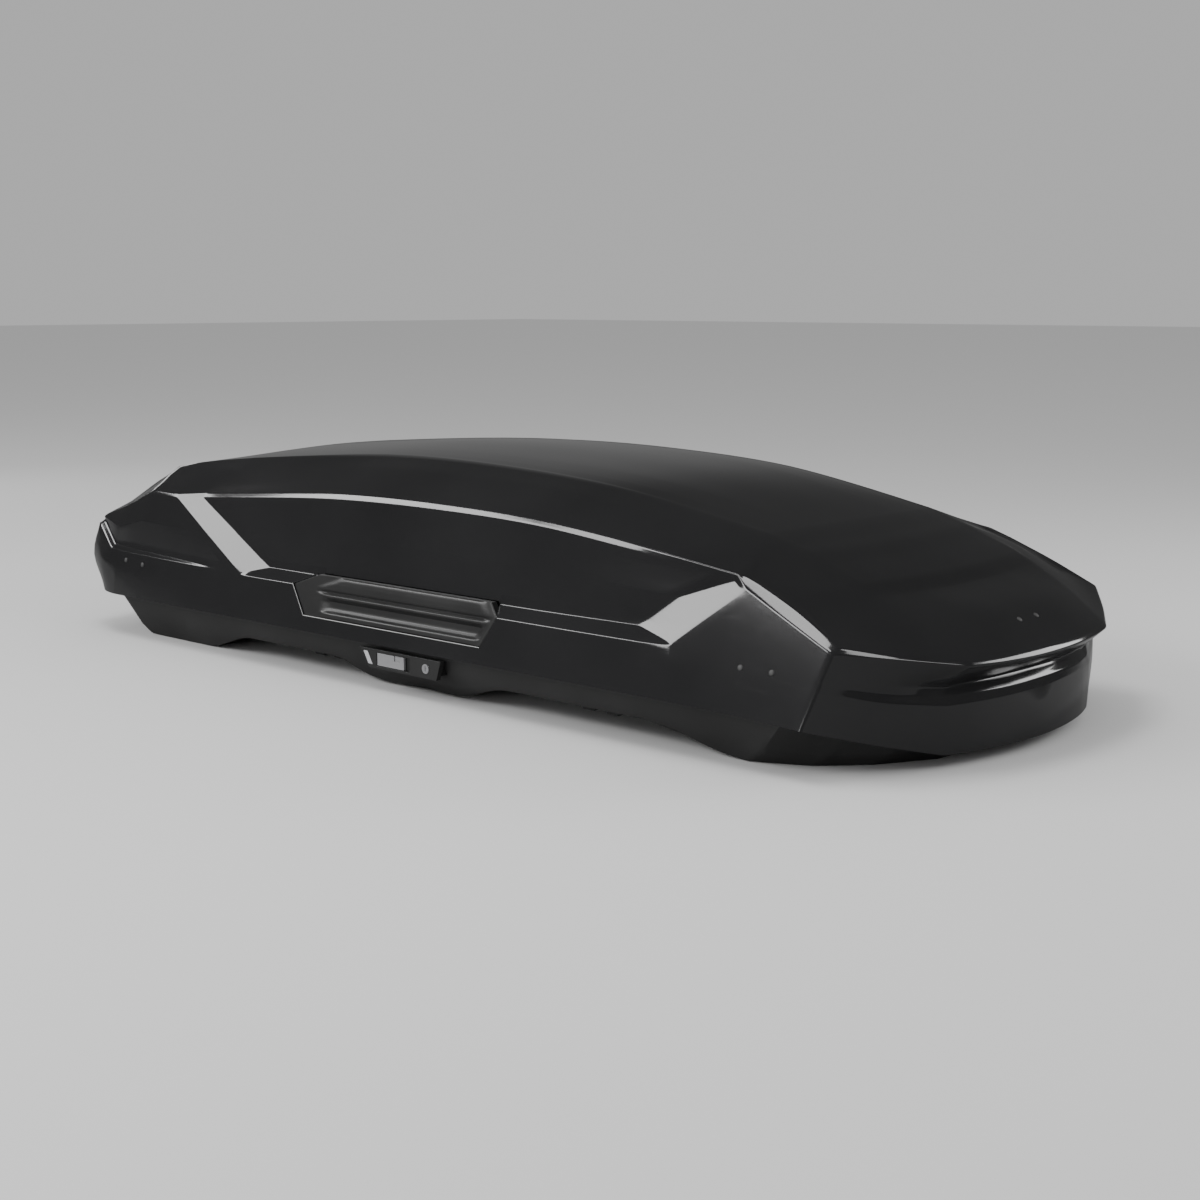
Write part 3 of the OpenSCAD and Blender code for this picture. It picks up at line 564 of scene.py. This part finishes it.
def handle_span(z):
    """The handle's ends at a height."""
    heights = (HANDLE_LOW, HANDLE_POINT, HANDLE_TOP)
    left = np.interp(z, heights, [HANDLE[k][0] for k in (1, 0, 5)])
    right = np.interp(z, heights, [HANDLE[k][0] for k in (2, 3, 4)])
    return left, right


def handle_proud(x, z, section):
    """The full section along the grip, fading to a flat field at both ends."""
    left, right = handle_span(z)
    start = left + GRIP_INSET if z > SECOND_RIB else GRIP_START
    coming, going = (x - start) / GRIP_FADE, (right - GRIP_END - x) / GRIP_OUT
    grip = eased(min(1, max(0, coming)) * min(1, max(0, going)))
    return section * grip + FIELD_PROUD * (1 - grip)


def build_handle(name, side):
    """A grid over the handle's face, closer at both ends, with a rim turned back into the pocket."""
    fractions = [0, NEAR_EDGE] + list(np.linspace(0.01, 0.3, 22)) + list(np.linspace(0.34, 0.8, 8)) \
        + list(np.linspace(0.84, 0.99, 14)) + [1 - NEAR_EDGE, 1]
    heights = np.concatenate([np.linspace(a[0], b[0], 3, endpoint=False)
                              for a, b in zip(HANDLE_SECTION, HANDLE_SECTION[1:])] + [[HANDLE_LOW]])
    known = HANDLE_SECTION[::-1]
    front = []
    for z in heights:
        section = float(np.interp(z, [k[0] for k in known], [k[1] for k in known]))
        left, right = handle_span(z)
        row = []
        for f in fractions:
            x = left + (right - left) * f
            dip = EDGE_DIP if f in (0, 1) else NEAR_EDGE_DIP if f in (NEAR_EDGE, 1 - NEAR_EDGE) else 0
            row.append(side_point(x, z, handle_proud(x, z, section) - dip, side))
        front.append(row)
    n, m = len(front), len(fractions)
    vertices = [p for row in front for p in row]
    faces = [(i * m + j, i * m + j + 1, (i + 1) * m + j + 1, (i + 1) * m + j)
             for i in range(n - 1) for j in range(m - 1)]
    rim = list(range(m)) + [i * m + m - 1 for i in range(1, n)] \
        + [(n - 1) * m + j for j in range(m - 2, -1, -1)] + [i * m for i in range(n - 2, 0, -1)]
    start = len(vertices)
    back = Vector((0, -side * HANDLE_THICK * MM, 0))
    vertices += [vertices[k] + back for k in rim]
    count = len(rim)
    faces += [(rim[k], rim[(k + 1) % count], start + (k + 1) % count, start + k) for k in range(count)]
    faces.append(tuple(range(start, start + count)))
    made = tidy_mesh(new_object(name, vertices, faces, FINISH["handle_satin"]))
    sharpen(made, SHARP_HANDLE)
    return made


def build_bead(name, side):
    """The thin rounded bead that closes the gap round the handle's left end and lower edge."""
    radius, sides, sunk = 1.4, 8, 0.9
    outline = grown(HANDLE, POCKET_GAP + 1.2)
    path = [outline[k] for k in (5, 0, 1, 2)]
    rings = []
    for k, here in enumerate(path):
        before, after = path[max(k - 1, 0)], path[min(k + 1, len(path) - 1)]
        ways = [(b - a).normalized() for a, b in ((before, here), (here, after)) if (b - a).length > 0]
        way = sum(ways, Vector((0, 0))).normalized()
        across = Vector((-way.y, way.x)) / way.dot(ways[0])
        ring = []
        for step in range(sides):
            angle = 2 * math.pi * step / sides
            spot = here + across * radius * math.cos(angle)
            ring.append(side_point(spot.x, spot.y, radius * math.sin(angle) - sunk, side))
        rings.append(ring)
    return closed_loft(name, rings, FINISH["lid_gloss"])


def sharpen(made, degrees):
    """Marks edges over an angle sharp, so that shading breaks there."""
    work = bmesh.new()
    work.from_mesh(made.data)
    for edge in work.edges:
        edge.smooth = len(edge.link_faces) == 2 and edge.calc_face_angle(0) < math.radians(degrees)
    work.to_mesh(made.data)
    work.free()


def own(made, body, slot, *replaced):
    """Lets a piece ride on a body in place of CAD nodes."""
    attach(made, body)
    if replaced:
        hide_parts(*replaced)
    return made


LID_WALL = 0.0035
SHARP_LID = 50          # edges over this many degrees shade sharp
lid = thicken(build_lid(), LID_WALL, FINISH["lid_inner"])
lid = baked(lid, "lid_outer_shell")
for label, side in SIDES:
    lid = cut(lid, handle_pocket(side))
sharpen(lid, SHARP_LID)
own(lid, "lid", "lid_gloss", "lid_shell")
for label, side in SIDES:
    own(build_handle(label + "_grip_handle", side), "lid", "handle_satin", label + "_handle")
    own(build_bead(label + "_handle_bead", side), "lid", "lid_gloss")

# ---------- base tub ----------
# Half outlines at the rim and on the ground, tail centre first; both have the same bends
BASE_TOP = [(-1066, 0), (-1060, 200), (-1020, 380), (-925, 440), (880, 440), (945, 335),
            (1008, 222), (1040, 110), (1050, 0)]
BASE_LOW = [(-1010, 0), (-1004, 200), (-975, 345), (-890, 396), (785, 396), (880, 350),
            (946, 281), (997, 187), (1015, 0)]
# Height of the underside along the box: three bulges and two crossbar channels
FLOOR_LINE = [(-1080, 82), (-980, 56), (-954, 30), (-900, 0), (-660, 0), (-560, 28),
              (-525, 40), (-215, 40), (-165, 14), (-120, 4), (110, 4), (165, 20),
              (215, 40), (560, 40), (635, 28), (720, 8), (790, 0), (1015, 0), (1080, 60)]
TUB_TOP_Z = 96
TUB_STEPS = {3: 150}    # samples along the long side; other stretches have TUB_CURVE
TUB_CURVE = 12
TUB_WALL = 0.004
CHAMFER_HIGH = 20       # the foot's chamfer where the underside is lowest
CHAMFER_IN = 13
CHAMFER_GONE = 60       # underside height at which no chamfer would be left
FLOOR_SHARES = (0.99, 0.95, 0.9, 0.8, 0.6, 0.4, 0.2, 0)     # of the half width, for the floor's rows
SOFTENING = (-24, -12, 0, 12, 24)
CLAMP_X = (-365, 385)   # places of the clamp slots through the floor
CLAMP_Y = (-300, 300)
SLOT_HALF_LONG, SLOT_HALF_WIDE, SLOT_Z = 85, 20, (20, 60)
LOCK_Y = (378, 442)     # depth that the lock's openings cut through
LOCK_SLOT_X, LOCK_SLOT_Z = (-36, 8), (54.5, 66.5)
KEY_PLACE, KEY_RADIUS = (72, 60.5), 11


def floor_height(x):
    return float(np.interp(x, [p[0] for p in FLOOR_LINE], [p[1] for p in FLOOR_LINE]))


def softened_floor(x):
    """The floor line with its bends rounded over a few centimetres."""
    return sum(floor_height(x + d) for d in SOFTENING) / len(SOFTENING)


def tub_columns():
    """Pairs of points on the rim and on the ground, all the way along the half outline."""
    top = [np.array(p, float) for p in BASE_TOP]
    low = [np.array(p, float) for p in BASE_LOW]
    pairs = []
    for k in range(len(top) - 1):
        steps = TUB_STEPS.get(k, TUB_CURVE)
        pairs += [(top[k] + (top[k + 1] - top[k]) * t, low[k] + (low[k + 1] - low[k]) * t)
                  for t in np.arange(steps) / steps]
    return pairs + [(top[-1], low[-1])]


def chamfer_way(place):
    """Which way the chamfer leans in: across the box on the sides, mostly along it at the ends."""
    way = np.array((-place[0] * 0.02, -1.0)) if abs(place[1]) > 200 else \
        np.array((-np.sign(place[0]), -0.6))
    return way / np.linalg.norm(way)


def tub_column(top, low):
    """Points from the rim down the wall, over the chamfer and across the floor to the middle."""
    def wall(z):
        flat = low + (top - low) * z / TUB_TOP_Z
        return np.array((flat[0], flat[1], z))

    foot = softened_floor(wall(10)[0])
    tall = CHAMFER_HIGH * (1 - foot / CHAMFER_GONE)
    start = min(foot + tall, TUB_TOP_Z - 4)
    inner = wall(foot)[:2] + chamfer_way(wall(foot)) * CHAMFER_IN * tall / CHAMFER_HIGH
    inner[1] = max(inner[1], 0)
    column = [wall(z) for z in (TUB_TOP_Z, TUB_TOP_Z - 1, (TUB_TOP_Z + start) / 2, start + 2, start - 0.5)]
    edge = np.array((inner[0], inner[1], foot))
    column += [column[-1] * 0.5 + edge * 0.5, edge * 0.97 + column[-1] * 0.03]
    floor_z = softened_floor(inner[0])
    return column + [np.array((inner[0], inner[1] * share, floor_z)) for share in FLOOR_SHARES]


def build_tub():
    """The vacuum-formed base: leaning wall, chamfered foot and a floor with two crossbar channels."""
    grid = [tub_column(top, low) for top, low in tub_columns()]
    vertices, faces = [], []
    n, m = len(grid), len(grid[0])
    for side in (1, -1):
        start = len(vertices)
        vertices += [Vector((p[0], side * p[1], p[2])) * MM for column in grid for p in column]
        for i in range(n - 1):
            for j in range(m - 1):
                a = start + i * m + j
                faces.append((a, a + m, a + m + 1, a + 1)[::-side])
    return tidy_mesh(new_object("base_tub", vertices, faces, FINISH["base_plastic"]), 0.00005)


def box_cutter(low, high):
    (x0, y0, z0), (x1, y1, z1) = low, high
    loops = [[Vector(p) * MM for p in ((x0, y0, z), (x1, y0, z), (x1, y1, z), (x0, y1, z))] for z in (z0, z1)]
    return closed_loft("box_cutter", loops, FINISH["base_plastic"])


def key_bore(near, far):
    """A round cutter for the key cylinder, through the wall behind a lock panel."""
    x, z = KEY_PLACE
    ring = [(x + KEY_RADIUS * math.cos(a), z + KEY_RADIUS * math.sin(a))
            for a in np.linspace(0, 2 * math.pi, 24, endpoint=False)]
    loops = [[Vector((px, y, pz)) * MM for px, pz in ring] for y in (near, far)]
    return closed_loft("key_bore", loops, FINISH["base_plastic"])


tub = thicken(build_tub(), TUB_WALL, FINISH["base_plastic"])
tub = baked(tub, "base_tub")
for x in CLAMP_X:
    for y in CLAMP_Y:
        tub = cut(tub, box_cutter((x - SLOT_HALF_LONG, y - SLOT_HALF_WIDE, SLOT_Z[0]),
                                  (x + SLOT_HALF_LONG, y + SLOT_HALF_WIDE, SLOT_Z[1])))
for side in (-1, 1):
    near, far = sorted(side * y for y in LOCK_Y)
    tub = cut(tub, box_cutter((LOCK_SLOT_X[0], near, LOCK_SLOT_Z[0]), (LOCK_SLOT_X[1], far, LOCK_SLOT_Z[1])))
    tub = cut(tub, key_bore(near, far))
SHARP_TUB = 38
sharpen(tub, SHARP_TUB)
own(tub, "root", "base_plastic", "base_shell")

# ---------- rivets ----------
LID_RIVET = 0.0052      # head radii
PLATE_RIVET = 0.0055
RIVET_DOME = 0.4        # height of a head's dome for its radius
SIDE_RIVETS = ((-890, 167), (-827, 163), (786, 160), (846, 160))    # along and up
HOOD_RIVET = (1040, 27)                                             # along and across
OUTSIDE = 600           # a distance clear of the lid, from which its surface is sought
PLATE_TOP = 46
PLATE_RIVET_X = (-110, 110)     # from a plate's middle
PLATE_RIVET_Y = range(-350, 351, 140)


def rivet_tree(name, material):
    """Sets one domed rivet on every point, facing along the point's own direction."""
    tree = bpy.data.node_groups.new(name, "GeometryNodeTree")
    tree.interface.new_socket("Heads", in_out="INPUT", socket_type="NodeSocketGeometry")
    for label in ("Radius", "Height"):
        tree.interface.new_socket(label, in_out="INPUT", socket_type="NodeSocketFloat")
    tree.interface.new_socket("Rivets", in_out="OUTPUT", socket_type="NodeSocketGeometry")
    make, join = tree.nodes.new, tree.links.new
    given, result = make("NodeGroupInput"), make("NodeGroupOutput")
    head = make("GeometryNodeMeshUVSphere")
    head.inputs["Segments"].default_value = 14
    head.inputs["Rings"].default_value = 8
    join(given.outputs["Radius"], head.inputs["Radius"])
    flat = make("GeometryNodeTransform")
    size = make("ShaderNodeCombineXYZ")
    for axis in ("X", "Y"):
        size.inputs[axis].default_value = 1.0
    join(given.outputs["Height"], size.inputs["Z"])
    join(head.outputs["Mesh"], flat.inputs["Geometry"])
    join(size.outputs[0], flat.inputs["Scale"])
    facing = make("GeometryNodeInputNamedAttribute")
    facing.data_type = "FLOAT_VECTOR"
    facing.inputs["Name"].default_value = "facing"
    turn = make("FunctionNodeAlignRotationToVector")
    turn.axis = "Z"
    join(facing.outputs["Attribute"], turn.inputs["Vector"])
    points = make("GeometryNodeInstanceOnPoints")
    join(given.outputs["Heads"], points.inputs["Points"])
    join(flat.outputs[0], points.inputs["Instance"])
    join(turn.outputs[0], points.inputs["Rotation"])
    real = make("GeometryNodeRealizeInstances")
    coat = make("GeometryNodeSetMaterial")
    coat.inputs["Material"].default_value = material
    join(points.outputs[0], real.inputs[0])
    join(real.outputs[0], coat.inputs[0])
    join(coat.outputs[0], result.inputs["Rivets"])
    return tree


def build_rivets(name, material, places, radius):
    """Rivets at the given places, each a point and the direction it faces."""
    made = new_object(name, [p for p, facing in places], [], material)
    layer = made.data.attributes.new("facing", "FLOAT_VECTOR", "POINT")
    for k, (p, facing) in enumerate(places):
        layer.data[k].vector = facing
    added = made.modifiers.new("rivets", "NODES")
    added.node_group = rivet_tree(name + "_tree", material)
    sizes = {"Radius": radius, "Height": RIVET_DOME}
    for socket in added.node_group.interface.items_tree:
        if socket.in_out == "INPUT" and socket.name in sizes:
            added[socket.identifier] = sizes[socket.name]
    made = baked(made, name)
    made.data.polygons.foreach_set("use_smooth", [True] * len(made.data.polygons))
    return made


def surface_point(tree, start, direction):
    """Where a line meets the lid, and the direction the surface faces there."""
    place, facing, _, _ = tree.ray_cast(Vector(start) * MM, Vector(direction))
    return place, facing if facing.dot(Vector(direction)) < 0 else -facing


lid_surface = BVHTree.FromPolygons([v.co for v in lid.data.vertices],
                                   [tuple(p.vertices) for p in lid.data.polygons])
heads = []
for label, side in SIDES:
    heads += [surface_point(lid_surface, (x, side * OUTSIDE, z), (0, -side, 0)) for x, z in SIDE_RIVETS]
    heads.append(surface_point(lid_surface, (HOOD_RIVET[0], side * HOOD_RIVET[1], OUTSIDE), (0, 0, -1)))
own(build_rivets("lid_rivet_heads", FINISH["dark_nylon"], heads, LID_RIVET),
    "lid", "dark_nylon", "lid_rivets")
plate_heads = [(Vector((x + dx, y, PLATE_TOP)) * MM, Vector((0, 0, 1)))
               for x in CLAMP_X for dx in PLATE_RIVET_X for y in PLATE_RIVET_Y]
own(build_rivets("plate_rivet_heads", FINISH["zinc_steel"], plate_heads, PLATE_RIVET),
    "root", "zinc_steel", "base_rivets")

# ---------- carried-over pieces ----------
SLOT_OF = {part["node"]: part["material_slot"] for part in frame["record"]["subparts"]}
SAME_PLACE = 0.00001
BROKEN_EDGE = 0.0006
EDGE_ANGLE = 35


def finish_cad_node(node, made):
    """Rounds a carried-over node's edges a little and gives it its finish."""
    made.data.materials.clear()
    made.data.materials.append(FINISH[SLOT_OF[node]])
    made.data.polygons.foreach_set("use_smooth", [False] * len(made.data.polygons))
    weld = made.modifiers.new("weld", "WELD")
    weld.merge_threshold = SAME_PLACE
    bevel = made.modifiers.new("edges", "BEVEL")
    bevel.width = BROKEN_EDGE
    bevel.segments = 2
    bevel.limit_method = "ANGLE"
    bevel.angle_limit = math.radians(EDGE_ANGLE)
    bevel.harden_normals = False


for node, made in frame["nodes"].items():
    if not made.hide_render:
        finish_cad_node(node, made)

# ---------- floor, light and camera ----------
FLOOR_HALF = 40.0
FLOOR_DROP = 0.0005     # just under the box, so that the two never share a plane
FLOOR_GREY = 0.58
# Painted reflection: the floor's grey is cut to this share where the box's gloss mirrors it
PAINTED_REFLECTION_SHARE = 0.35   # of the floor's grey, where the gloss mirrors it


def pale_floor():
    """A pale matt floor with a painted darker reflection: the box's gloss mirrors it at a share of its grey.
    """
    made = Finish("floor_pale", Specular_IOR_Level=0.0)
    pale = made.mixed(made.noise(2.0, 3), grey(FLOOR_GREY * 0.99), grey(FLOOR_GREY))
    # Painted darker reflection: glossy rays see the floor darker than the camera does
    mirrored = made.node("ShaderNodeLightPath", {"output": "Is Glossy Ray"})
    made.colour(made.mixed(mirrored, pale, grey(FLOOR_GREY * PAINTED_REFLECTION_SHARE)))
    made.roughness(0.6 + 0.02 * made.noise(5.0))
    return made.material


def floor():
    corners = [Vector((x * FLOOR_HALF, y * FLOOR_HALF, -FLOOR_DROP))
               for x, y in ((-1, -1), (1, -1), (1, 1), (-1, 1))]
    made = new_object("studio_floor", corners, [(0, 1, 2, 3)], pale_floor(), smooth=False)


def lamp(name, direction, distance, size, radiance, target=(0, 0, 0.2)):
    """A flat softbox that faces the box from the given direction."""
    data = bpy.data.lights.new(name, "AREA")
    data.shape = "RECTANGLE"
    data.size, data.size_y = size
    data.energy = math.pi * radiance * size[0] * size[1]
    made = bpy.data.objects.new(name, data)
    bpy.context.scene.collection.objects.link(made)
    away = Vector(direction).normalized()
    made.visible_camera = False
    made.location = Vector(target) + away * distance
    made.rotation_euler = (-away).to_track_quat("-Z", "Y").to_euler()


ROOM_GLOW = (-0.79, 0.6, 0.12)      # where the dark room is a little lighter
ROOM_DARK, ROOM_LIGHT = 0.08, 0.22


def world():
    """Pale surroundings for the camera and for diffuse light, and a darker room in reflections."""
    made = bpy.data.worlds.new("studio")
    bpy.context.scene.world = made
    made.use_nodes = True
    nodes, links = made.node_tree.nodes, made.node_tree.links
    ray = nodes.new("ShaderNodeLightPath")
    shown = nodes["Background"]
    # In reflections the room is a little lighter low down behind the box
    toward = nodes.new("ShaderNodeVectorMath")
    toward.operation = "DOT_PRODUCT"
    toward.inputs[1].default_value = ROOM_GLOW
    links.new(nodes.new("ShaderNodeTexCoord").outputs["Generated"], toward.inputs[0])
    fade = nodes.new("ShaderNodeMapRange")
    fade.interpolation_type = "SMOOTHSTEP"
    for name, value in (("From Min", 0.9), ("From Max", 1.0), ("To Min", ROOM_DARK), ("To Max", ROOM_LIGHT)):
        fade.inputs[name].default_value = value
    links.new(toward.outputs["Value"], fade.inputs["Value"])
    links.new(fade.outputs["Result"], shown.inputs["Color"])
    for output, level in (("Is Diffuse Ray", 0.75), ("Is Camera Ray", 0.5)):
        light = nodes.new("ShaderNodeBackground")
        light.inputs["Color"].default_value = grey(level)
        mix = nodes.new("ShaderNodeMixShader")
        links.new(ray.outputs[output], mix.inputs[0])
        links.new(shown.outputs[0], mix.inputs[1])
        links.new(light.outputs[0], mix.inputs[2])
        shown = mix
    links.new(shown.outputs[0], nodes["World Output"].inputs["Surface"])


CAMERA_AZIMUTH, CAMERA_ELEVATION = math.radians(42.4), math.radians(9.5)
CAMERA_DISTANCE = 3.6065
CAMERA_TARGET = (0.0934, 0, 0.135)
CAMERA_LENS, CAMERA_SENSOR = 54.43, 36


def camera():
    """A three-quarter view from the right, ahead and a little above."""
    data = bpy.data.cameras.new("camera")
    data.lens = CAMERA_LENS
    data.sensor_width = CAMERA_SENSOR
    data.clip_end = 60
    made = bpy.data.objects.new("camera", data)
    bpy.context.scene.collection.objects.link(made)
    level = math.cos(CAMERA_ELEVATION)
    back = Vector((math.sin(CAMERA_AZIMUTH) * level, -math.cos(CAMERA_AZIMUTH) * level,
                   math.sin(CAMERA_ELEVATION)))
    made.location = Vector(CAMERA_TARGET) + back * CAMERA_DISTANCE
    made.rotation_euler = back.to_track_quat("Z", "Y").to_euler()
    bpy.context.scene.camera = made


floor()
world()
camera()
# Each softbox: the way to it from its target, distance, size, strength and the place it lights
lamp("key_softbox", (-0.56, -0.66, 0.49), 6.0, (5.4, 1.5), 11, (0, -0.4, 0.25))
lamp("bevel_panel", (-0.28, -0.22, 0.92), 3.2, (1.6, 1.1), 10, (0.85, -0.4, 0.24))
lamp("nose_strip", (0.47, 0.79, 0.36), 3.6, (2.0, 1.1), 7, (1.07, -0.1, 0.17))
lamp("nose_corner_strip", (0.76, 0.13, 0.62), 3.6, (1.0, 1.2), 7, (1.0, -0.33, 0.18))
lamp("side_panel", (-0.22, -0.97, 0.05), 3.4, (2.2, 1.0), 7, (0.93, -0.43, 0.15))
lamp("pocket_light", (0.28, -0.81, 0.49), 3.4, (0.5, 0.5), 5, (-0.3, -0.45, 0.15))
lamp("tail_light", (-0.9, 0.3, 0.3), 4.0, (1.2, 0.7), 2.5, (-0.9, -0.4, 0.3))
